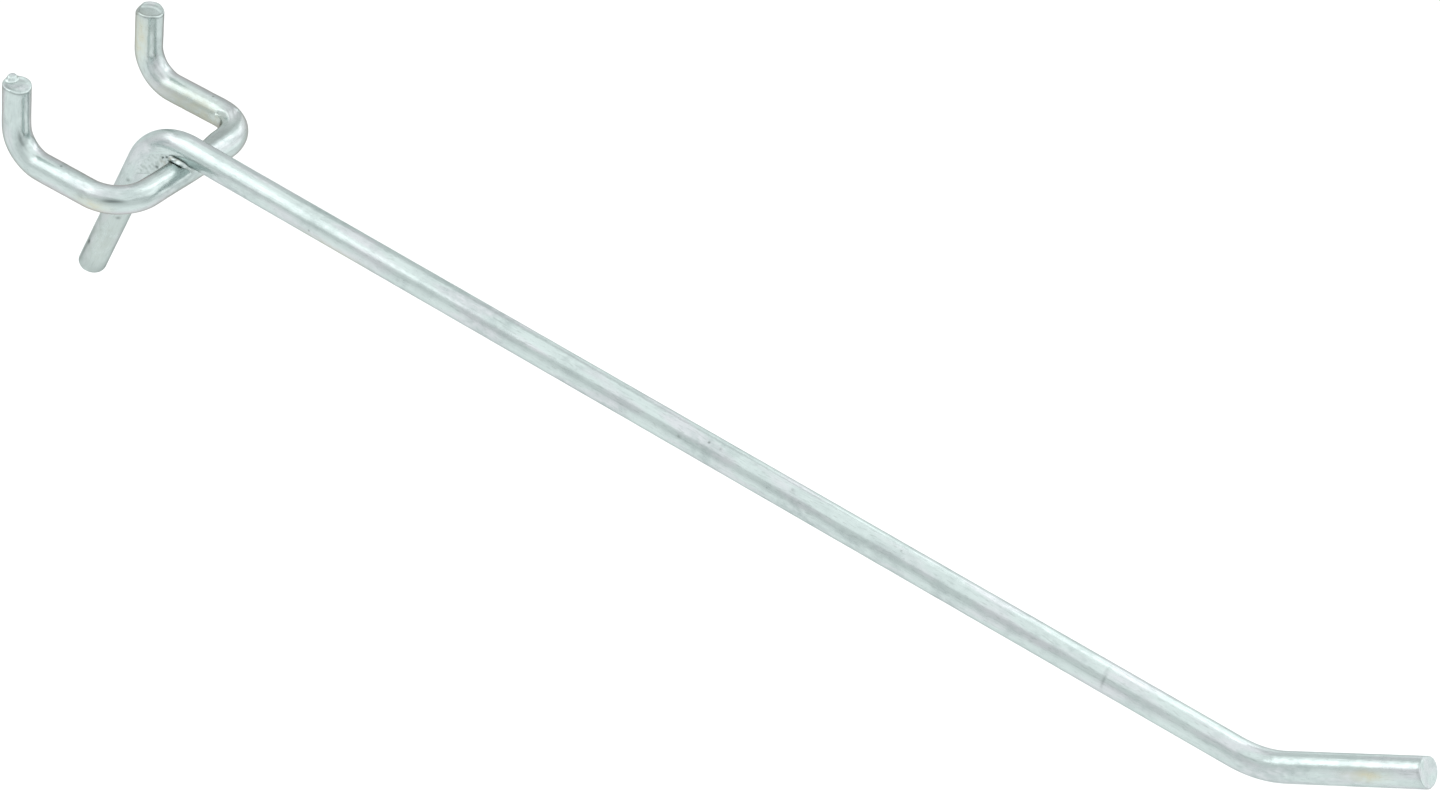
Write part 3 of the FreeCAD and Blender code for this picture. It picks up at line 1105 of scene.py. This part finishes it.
@dataclass
class HookArm:
    """The long wire: leg, arm and raised tip, with its sizes in millimetres."""

    arm_length: float = 164.0
    tip_length: float = 22.8
    tip_bend_radius: float = 12.6
    rear_bend_radius: float = 8.4
    rear_bend_lead: float = 0.45
    leg_splay: float = 19.4
    leg_length: float = 28.4

    def route(self) -> Route:
        """Lay the wire's axis from the leg's cut end to the tip's.

        Returns:
            The route, placed by the mounts on the arm and the tip.
        """
        on_arm, out = mount("arm")
        on_tip, tip_out = mount("tip")
        # Both axes lie in the plane x = 0, so the tip bend's corner is where they cross.
        sides = np.array((out[1:], -tip_out[1:])).T
        tip_corner = on_arm + out * np.linalg.solve(sides, (on_tip - on_arm)[1:])[0]
        square = math.radians(90 - self.leg_splay)
        rear_setback = self.rear_bend_radius * math.tan(square / 2) - self.rear_bend_lead
        rear_corner = tip_corner - out * (self.arm_length + rear_setback)
        below = np.array((0.0, -out[2], out[1]))
        splay = math.radians(self.leg_splay)
        leg_down = below * math.cos(splay) - out * math.sin(splay)
        corners = (
            rear_corner + leg_down * self.leg_length,
            rear_corner,
            tip_corner,
            tip_corner + tip_out * self.tip_length,
        )
        return Route(corners, (self.rear_bend_radius, self.tip_bend_radius))

    def wear(self) -> tuple[Mark, ...]:
        """List what handling and the plating bath left on the arm, leg and tip, with painted dark lines
        along the edges of the leg and arm.

        Returns:
            The marks, in the order in which they are made.
        """
        return (
            Mark(Trace.SCUFF, (-1.4, -154.6, 24.2), 0.16, 1.5, 0.4, 0.02, slant=0.12),
            Mark(Trace.SCUFF, (-1.68, -93.06, 15.72), 0.28, 0.22, 0.5, 0.03),
            Mark(Trace.SCUFF, (-0.81, -98.49, 17.28), 0.22, 0.2, 0.4, 0.03),
            Mark(Trace.SCUFF, (-0.76, -109.24, 18.73), 0.25, 0.2, 0.4, 0.03),
            Mark(Trace.DULL, (-0.9, -5.0, -12.0), 7.5, 6.0, 0.36),
            Mark(Trace.DULL, (-0.9, -1.5, -21.5), 4.0, 6.0, 0.25),
            Mark(Trace.DULL, (0.2, -3.4, -24.4), 1.5, 2.6, 0.8),
            Mark(Trace.STAIN, (-0.9, -3.5, -17.5), 7.5, 4.0, 0.16),
            # Painted shade: a long thin dark line down the leg, along its right edge in the camera's
            # view.
            Mark(Trace.SCUFF, (0.4, -4.75, -19.0), 8.5, 0.45, 0.6),
            Mark(Trace.SCUFF, (-1.55, -1.3, -21.0), 4.5, 0.36, 0.5),
            # Painted shade: a long thin dark line down the arm's lower left flank, along its lower edge
            # in the camera's view.
            Mark(Trace.SCUFF, (-1.5, -93.0, 13.75), 110.0, 0.36, 0.2),
            Mark(Trace.SCUFF, (-1.64, -1.79, -19.68), 0.35, 0.25, 0.8, 0.06),
            Mark(Trace.SCUFF, (-1.42, -5.5, -12.8), 0.25, 0.3, 0.7, 0.05),
            Mark(Trace.SCUFF, (-1.87, -6.13, -5.28), 0.3, 0.25, 0.6, 0.04),
            Mark(Trace.SCUFF, (-0.36, -11.04, 5.55), 0.3, 0.22, 0.2, 0.03),
            Mark(Trace.STAIN, (-1.69, -38.7, 6.4), 5.0, 0.7, 0.7),
            Mark(Trace.STAIN, (-1.7, -58.0, 8.0), 7.0, 0.6, 0.45),
            Mark(Trace.STAIN, (-1.86, -187.4, 36.0), 2.4, 0.7, 0.9),
        )

    def wire(self) -> BentWire:
        """Describe the arm's wire.

        Returns:
            The wire, not built yet.
        """
        low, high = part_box("hook_arm")
        radius = (high.x - low.x) / MM / 2
        ends = (
            CutEnd(Shear.WORN, (-1.0, 0.15, 0.0), 0.4, lean=0.05, burr=0.02, proud=0.42, dull=0.9),
            CutEnd(Shear.CLEAN, (0.0, 0.0, 1.0), 0.18, lean=0.04, burr=0.03, dull=0.1, dark_line=0.2),
        )
        return BentWire(
            "arm_wire",
            "hook_arm",
            "arm_wire",
            radius,
            self.route(),
            ACROSS,
            ends,
            Ripple(seed=3, height=0.007),
            self.wear(),
            step=0.3,
        )


@dataclass
class WeldFlash:
    """The metal that the weld squeezed out round the joint, with its sizes in millimetres."""

    wire_radius: float
    rear_bend_radius: float
    rear_bend_lead: float
    set_down: float = 0.6
    flash_reach: float = 0.35
    bead_swell: float = 0.3
    fillet_hollow: float = 0.12
    lump_height: float = 0.1
    embed: float = 0.8
    points_round: int = 200
    points_across: int = 14
    # Where the flash came out most, and where painted shade darkens the creases under the arm and over
    # the crossbar: degrees round the joint, from the right and rearwards, and the cosines between which
    # it fades in.
    swollen: tuple[float, float, float] = (145.0, 0.05, 0.8)
    arm_crease_shade: tuple[float, float, float] = (170.0, -0.3, 0.4)
    bar_crease_shade: tuple[float, float, float] = (138.0, 0.6, 0.95)
    bar_crease_shade_depth: float = 0.8
    # The feet reach this share of the flash's reach all round, more where it swelled, and more or
    # less by its lumps. No foot goes beyond this share of its wire's flank.
    foot_shares: tuple[float, float, float] = (0.35, 0.65, 0.3)
    flank_share: float = 0.93
    # The flash in the crook behind the crossbar, down to its free edge.
    crook_root: float = 0.95
    crook_foot: float = 7.15
    crook_high: float = 2.5
    crook_low: float = 5.7
    crook_anchor: float = 0.4
    crook_half_width: float = 1.8
    crook_hollow: float = 0.22
    crook_edge: float = 0.35
    crook_rings: int = 120
    crook_points: int = 120
    # Below 1, this crowds a ring's points toward the free edge.
    crook_crowding: float = 0.8
    # At 1, the free edge would be rounded to nothing.
    edge_rounding: float = 0.98
    # What is buried in the bend lies this far inside its flank.
    buried_inset: float = 0.04
    # The web is sunk by these shares of a lump all over, by its waves and in its creases.
    web_relief: tuple[float, float, float] = (0.1, 0.02, 1.2)
    # The crease on the web, sunk a little and darkened with painted shade, is a row of dots that climbs
    # to the front, this far below the bend's flank.
    seam_back: float = 2.72
    seam_depth: float = 0.71
    seam_climb: float = 0.184
    seam_width: float = 0.14
    seam_end: tuple[float, float] = (2.8, 3.1)
    dot_from: float = 2.8
    dot_pitch: float = 0.66
    # Painted shade along the crease beside the crossbar, which is fainter to the rear.
    junction_gap: float = 0.05
    junction_width: float = 0.1
    junction_fade: tuple[float, float] = (1.6, 2.2)
    # A pocket of painted shade and dried salts: how far back and up each is, and how far it spreads both
    # ways.
    shade_pocket: tuple[float, float, float, float] = (3.7, -2.5, 0.3, 0.22)
    salts: tuple[float, float, float, float] = (2.6, -1.5, 0.6, 0.6)

    def half_gap(self) -> float:
        """Return the distance from either wire's axis to the seat."""
        return self.wire_radius - self.set_down / 2

    def beside(self, turns: np.ndarray, place: tuple[float, float, float]) -> np.ndarray:
        """Grade the turns round the joint from 0 far from a place to 1 at it."""
        turn, none, full = place
        return smooth_step(none, full, np.cos(turns - math.radians(turn)))

    def blot(self, spots: np.ndarray, place: tuple[float, float, float, float]) -> np.ndarray:
        """Grade spots of the web from 0 far from a place to 1 at it."""
        back, up, long, high = place
        return np.exp(-(((spots[:, 0] - back) / long) ** 2) - ((spots[:, 1] - up) / high) ** 2)

    def seat(self, staple_route: Route, arm_route: Route) -> WeldSeat:
        """Find the plane in which the wires met.

        Args:
            staple_route: The axis of the wire below.
            arm_route: The axis of the wire above.

        Returns:
            The seat, above the middle of the crossbar.
        """
        crossbar = (staple_route.corners[2] + staple_route.corners[3]) / 2
        out = unit(arm_route.corners[2] - arm_route.corners[1])
        normal = np.array((0.0, out[2], -out[1]))
        return WeldSeat(crossbar + normal * self.half_gap(), normal, self.wire_radius + self.flash_reach)

    def build(self, seat: WeldSeat, finish: bpy.types.Material) -> bpy.types.Object:
        """Make the weld metal that shows: the ring round the joint and the web in the crook.

        Args:
            seat: Where the wires sank into each other.
            finish: The flash's material.

        Returns:
            The piece, in place of the weld's CAD node.
        """
        ring, web = self.ring(), self.web()
        faces = ring.faces + [tuple(corner + len(ring.points) for corner in face) for face in web.faces]
        local = np.concatenate((ring.points, web.points))
        marks = np.concatenate((ring.marks, web.marks))
        backward = np.cross(seat.normal, ACROSS)
        places = seat.centre + local @ np.array((ACROSS, backward, seat.normal))
        return Skin(places, faces, local, marks).piece("weld_flash", "weld", "weld_metal", finish)

    def ring(self) -> Skin:
        """Work out the lumpy ring in the crevice between the two wires.

        Returns:
            The skin, with places across, back along the arm and up from the seat's centre.
        """
        draw = np.random.default_rng(11)
        turns = np.arange(self.points_round) / self.points_round * math.tau
        lumps = np.zeros(self.points_round)
        for lobes in range(3, 15):
            lumps += np.sin(lobes * turns + draw.random() * math.tau) / math.sqrt(lobes)
        lumps /= np.abs(lumps).max()
        # Away from where the flash came out, it flowed into a smooth fillet.
        swelling = self.beside(turns, self.swollen)
        flank = self.flank_share * self.wire_radius
        plain, swollen, lumpy = self.foot_shares
        foot_reach = self.wire_radius + self.flash_reach * (plain + swollen * swelling + lumpy * lumps)
        across, back = foot_reach * np.cos(turns), foot_reach * np.sin(turns)
        sideways, lengthwise = np.clip(across, -flank, flank), np.clip(back, -flank, flank)
        under_arm = self.half_gap() - np.sqrt(self.wire_radius**2 - sideways**2)
        over_bar = np.sqrt(self.wire_radius**2 - lengthwise**2) - self.half_gap()
        arm_foot = np.stack((sideways, back, under_arm), axis=-1)
        bar_foot = np.stack((across, lengthwise, over_bar), axis=-1)
        outward = np.stack((np.cos(turns), np.sin(turns), np.zeros_like(turns)), axis=-1)
        swell = self.bead_swell * swelling * (1.0 + 0.5 * lumps) - self.fillet_hollow * (1.0 - swelling)
        # Painted shade darkens the ring's edges where it meets each wire, most at these creases.
        arm_crease_shade = self.beside(turns, self.arm_crease_shade)
        bar_crease_shade = self.beside(turns, self.bar_crease_shade) * self.bar_crease_shade_depth
        rings, crease_shades = [], []
        for share in np.linspace(0.0, 1.0, self.points_across):
            bulge = math.sin(math.pi * share)
            ripple = self.lump_height * np.sin(9 * turns + 5 * share) * swelling * bulge
            shown = arm_foot * (1 - share) + bar_foot * share
            rings.append(shown + outward * (swell * bulge + ripple)[:, None])
            edge = smooth_step(0.55, 1.0, np.full_like(turns, abs(2 * share - 1)))
            crease_shades.append(edge * (arm_crease_shade if share < 0.5 else bar_crease_shade))
        for share in (1.0, 0.5, 0.0):
            rings.append(arm_foot * (1 - share) + bar_foot * share - outward * self.embed)
            crease_shades.append(np.zeros_like(turns))
        marks = np.zeros((len(rings), self.points_round, 3))
        marks[..., Trace.SCUFF.value] = np.array(crease_shades)
        marks[..., Trace.STAIN.value] = swelling[None, :]
        points = np.array(rings).reshape(-1, 3)
        # The last ring joins the first one again.
        bands = band_faces(len(rings) + 1, self.points_round)
        faces = [tuple(corner % len(points) for corner in face) for face in bands]
        return Skin(points, faces, points, marks.reshape(-1, 3))

    def web(self) -> Skin:
        """Work out the web that fills the crook, from inside the rear bend down to its free edge.

        Returns:
            The skin, with places across, back along the arm and up from the seat's centre.
        """
        draw = np.random.default_rng(5)
        centre = np.array((-self.rear_bend_lead, self.half_gap() - self.rear_bend_radius))
        # The faces leave the flank of the bend at this radius from the bend's own centre.
        flank = self.rear_bend_radius - math.sqrt(self.wire_radius**2 - self.crook_half_width**2)
        anchor = flank + self.crook_anchor
        root = np.array((self.crook_root, -self.crook_high))
        foot = np.array((self.crook_foot, -self.crook_low))
        starts = math.acos((root[0] - centre[0]) / anchor)
        ends = math.atan2(foot[1] - centre[1], foot[0] - centre[0])
        # Each ring goes down the left face, round the free edge and up the right face.
        turns = (np.arange(self.crook_points) + 0.5) / self.crook_points * math.pi
        down = (1 - np.abs(1 - 2 * turns / math.pi)) ** self.crook_crowding
        side = np.where(turns < math.pi / 2, -1.0, 1.0)
        # The faces narrow from the flank until they run straight down.
        slope = (self.rear_bend_radius - flank) / self.crook_half_width
        reach = 2 * self.crook_hollow / slope
        phases = draw.random(4) * math.tau
        sunk, waved, creased = (self.lump_height * share for share in self.web_relief)
        rings, marks = [], []
        for share in np.linspace(0.0, 1.0, self.crook_rings):
            angle = starts + (ends - starts) * share
            top = centre + anchor * np.array((math.cos(angle), math.sin(angle)))
            edge = root + (foot - root) * share
            length = np.linalg.norm(edge - top)
            spots = top + (edge - top) * down[:, None]
            depth = down * length - self.crook_anchor
            within = np.clip(depth, 0.0, reach)
            width = self.crook_half_width - slope * within + slope * within**2 / (2 * reach)
            width = np.where(depth < 0, self.crook_half_width - self.buried_inset, width)
            rounding = np.clip((down * length - length + self.crook_edge) / self.crook_edge, 0.0, 1.0)
            width = width * np.sqrt(1.0 - self.edge_rounding * rounding**2)
            wave = sum(
                np.sin((2.1 + number) * spots[:, 0] + (3.0 - number) * spots[:, 1] + phase)
                for number, phase in enumerate(phases)
            )
            marked = self.web_marks(spots, depth)
            width = width - (sunk + waved * wave + creased * marked[:, Trace.SCUFF.value])
            rings.append(np.stack((side * width, spots[:, 0], spots[:, 1]), axis=-1))
            marks.append(marked)
        points = np.array(rings).reshape(-1, 3)
        # These rings run the other way round than a wire's, so each face is turned over.
        faces = [(face[0], *face[:0:-1]) for face in band_faces(len(rings), self.crook_points)]
        faces.append(tuple(range(self.crook_points)))
        faces.append(tuple(range(len(points) - 1, len(points) - self.crook_points - 1, -1)))
        return Skin(points, faces, points, np.array(marks).reshape(-1, 3))

    def web_marks(self, spots: np.ndarray, depth: np.ndarray) -> np.ndarray:
        """Mark where painted shade darkens the web's creases and where salts dried on it.

        Args:
            spots: Places back along the arm and up from the seat's centre.
            depth: How far each is below the flank of the bend.

        Returns:
            The three marks of each place.
        """
        marks = np.zeros((len(spots), 3))
        back, up = spots[:, 0], spots[:, 1]
        dots = 0.55 + 0.45 * np.cos(math.tau * (back - self.dot_from) / self.dot_pitch)
        below = depth - self.seam_depth + self.seam_climb * (self.seam_back - back)
        seam_shade = np.exp(-((below / self.seam_width) ** 2)) * (1 - smooth_step(*self.seam_end, back))
        from_bar = np.hypot(back, up + self.half_gap()) - self.wire_radius - self.junction_gap
        junction_shade = np.exp(-((from_bar / self.junction_width) ** 2))
        junction_shade = junction_shade * (1.0 - 0.6 * smooth_step(*self.junction_fade, back))
        # The seam's dots, the crease beside the crossbar and the pocket are painted shade.
        crease_shades = seam_shade * dots + 0.8 * junction_shade + 0.7 * self.blot(spots, self.shade_pocket)
        marks[:, Trace.SCUFF.value] = np.clip(crease_shades, 0.0, 1.0)
        marks[:, Trace.STAIN.value] = self.blot(spots, self.salts)
        return marks


@dataclass(frozen=True)
class SoftPanel:
    """A soft box: where its middle stands, what it faces, its sides in millimetres, and its level.

    A lamp doesn't hide what is behind it, so its level adds to that of the room.
    """

    name: str
    centre: tuple[float, float, float]
    aim: tuple[float, float, float]
    width: float
    height: float
    level: float

    def build(self) -> bpy.types.Object:
        """Hang the panel.

        Returns:
            The area light, out of the camera's sight.
        """
        lamp = bpy.data.lights.new(self.name, "AREA")
        lamp.shape = "RECTANGLE"
        lamp.size = self.width * MM
        lamp.size_y = self.height * MM
        # An area light of this many watts looks as bright as an emission of strength one.
        watts_per_level = math.pi * lamp.size * lamp.size_y
        lamp.energy = self.level * watts_per_level
        holder = bpy.data.objects.new(self.name, lamp)
        holder.location = Vector(self.centre) * MM
        holder.rotation_mode = "QUATERNION"
        holder.rotation_quaternion = (Vector(self.aim) - Vector(self.centre)).to_track_quat("-Z", "Y")
        holder.visible_camera = False
        bpy.context.scene.collection.objects.link(holder)
        return holder


@dataclass
class Studio:
    """The pale floor, the soft light round the hook and the photograph's camera, in millimetres."""

    floor_drop: float = 150.0
    floor_side: float = 6000.0
    floor_colour: str = "#F8F8F8"
    paper_roughness: float = 0.9
    floor_lift: float = 0.13
    surround: str = "#E9ECEC"
    surround_level: float = 1.0
    camera_aim: tuple[float, float, float] = (4.28, -93.80, 19.67)
    camera_distance: float = 567.65
    camera_azimuth: float = -65.381
    camera_elevation: float = 42.131
    camera_roll: float = 18.382
    lens: float = 116.22
    sensor: float = 36.0
    # In metres.
    clip_near: float = 0.01
    clip_far: float = 20.0

    def floor(self) -> bpy.types.Object:
        """Lay a pale matt paper floor below the hung hook.

        Returns:
            The floor.
        """
        half = self.floor_side / 2 * MM
        level = cad_bounds[0].z - self.floor_drop * MM
        mesh = bpy.data.meshes.new("floor")
        corners = [(-half, -half, level), (half, -half, level), (half, half, level), (-half, half, level)]
        mesh.from_pydata(corners, [], [(0, 1, 2, 3)])
        paper = bpy.data.materials.new("matt_white_paper")
        paper.use_nodes = True
        tree = paper.node_tree
        shader = tree.nodes["Principled BSDF"]
        shader.inputs["Base Color"].default_value = linear_colour(self.floor_colour)
        shader.inputs["Roughness"].default_value = self.paper_roughness
        shader.inputs["Emission Color"].default_value = (1.0, 1.0, 1.0, 1.0)
        # The room lights the paper a little short of white, so the camera and mirrors see it lifted.
        ray = add_node(tree, "ShaderNodeLightPath").outputs
        seen = ray["Is Camera Ray"]
        for other in ("Is Glossy Ray", "Is Transmission Ray"):
            either = add_node(tree, "ShaderNodeMath", {"operation": "MAXIMUM"}, {0: seen, 1: ray[other]})
            seen = either.outputs[0]
        lift = add_node(tree, "ShaderNodeMath", {"operation": "MULTIPLY", 1: self.floor_lift}, {0: seen})
        tree.links.new(lift.outputs[0], shader.inputs["Emission Strength"])
        mesh.materials.append(paper)
        floor = bpy.data.objects.new("floor", mesh)
        bpy.context.scene.collection.objects.link(floor)
        return floor

    def surroundings(self) -> None:
        """Fill the room with an even pale light."""
        world = bpy.data.worlds.new("pale_room")
        world.use_nodes = True
        background = world.node_tree.nodes["Background"]
        background.inputs["Color"].default_value = linear_colour(self.surround)
        background.inputs["Strength"].default_value = self.surround_level
        bpy.context.scene.world = world

    def panels(self) -> tuple[SoftPanel, ...]:
        """List the soft boxes.

        Returns:
            The panels round the hook.
        """
        return (
            SoftPanel("rear_left_panel", (-76, 75, 95), (-50, -60, 45), 150, 92, 0.6),
            SoftPanel("far_rear_panel", (-120, 600, 285), (-20, -186, 38), 680, 190, 0.6),
            SoftPanel("right_panel", (250, -38, 290), (0, -50, 200), 150, 370, 0.66),
            SoftPanel("right_rear_panel", (250, -20, 60), (0, -10, 50), 170, 170, 0.36),
            SoftPanel("right_front_panel", (250, -330, 180), (0, -230, 110), 350, 420, 0.45),
            SoftPanel("overhead_panel", (0, 0, 520), (0, -1, 0), 1040, 1200, 0.34),
        )

    def camera(self) -> bpy.types.Object:
        """Stand the camera where the photograph was taken from.

        Returns:
            The camera.
        """
        azimuth, elevation = math.radians(self.camera_azimuth), math.radians(self.camera_elevation)
        back = Vector(
            (
                math.sin(azimuth) * math.cos(elevation),
                -math.cos(azimuth) * math.cos(elevation),
                math.sin(elevation),
            )
        )
        lens = bpy.data.cameras.new("photo_camera")
        lens.lens = self.lens
        lens.sensor_width = self.sensor
        lens.sensor_fit = "HORIZONTAL"
        lens.clip_start, lens.clip_end = self.clip_near, self.clip_far
        camera = bpy.data.objects.new("photo_camera", lens)
        turned = (-back).to_track_quat("-Z", "Y").to_matrix().to_4x4()
        rolled = turned @ Matrix.Rotation(math.radians(self.camera_roll), 4, "Z")
        place = (Vector(self.camera_aim) + back * self.camera_distance) * MM
        camera.matrix_world = Matrix.Translation(place) @ rolled
        bpy.context.scene.collection.objects.link(camera)
        bpy.context.scene.camera = camera
        return camera

    def build(self) -> None:
        """Set up floor, light, camera and the plain view of colours."""
        self.floor()
        self.surroundings()
        for panel in self.panels():
            panel.build()
        self.camera()
        bpy.context.scene.view_settings.view_transform = "Standard"
        LOG.info("studio: floor, surroundings, soft panels and camera")


def main() -> None:
    """Build the hook, its finishes and the studio, in that order."""
    logging.basicConfig(level=logging.INFO, format="%(name)s: %(message)s")
    hook_arm = HookArm()
    staple, arm = MountingStaple().wire(), hook_arm.wire()
    flash = WeldFlash(arm.radius, hook_arm.rear_bend_radius, hook_arm.rear_bend_lead)
    seat = flash.seat(staple.route, arm.route)
    staple_plate = ZincPlate("zinc_plated_staple_wire", edge_tint="#B6AFAB", line_relief=0.009)
    staple.build(staple_plate.material(), seat, -1.0)
    arm.build(ZincPlate("zinc_plated_arm_wire").material(), seat, 1.0)
    flash.build(seat, WeldPlate().material())
    Studio().build()


if __name__ == "__main__":
    main()
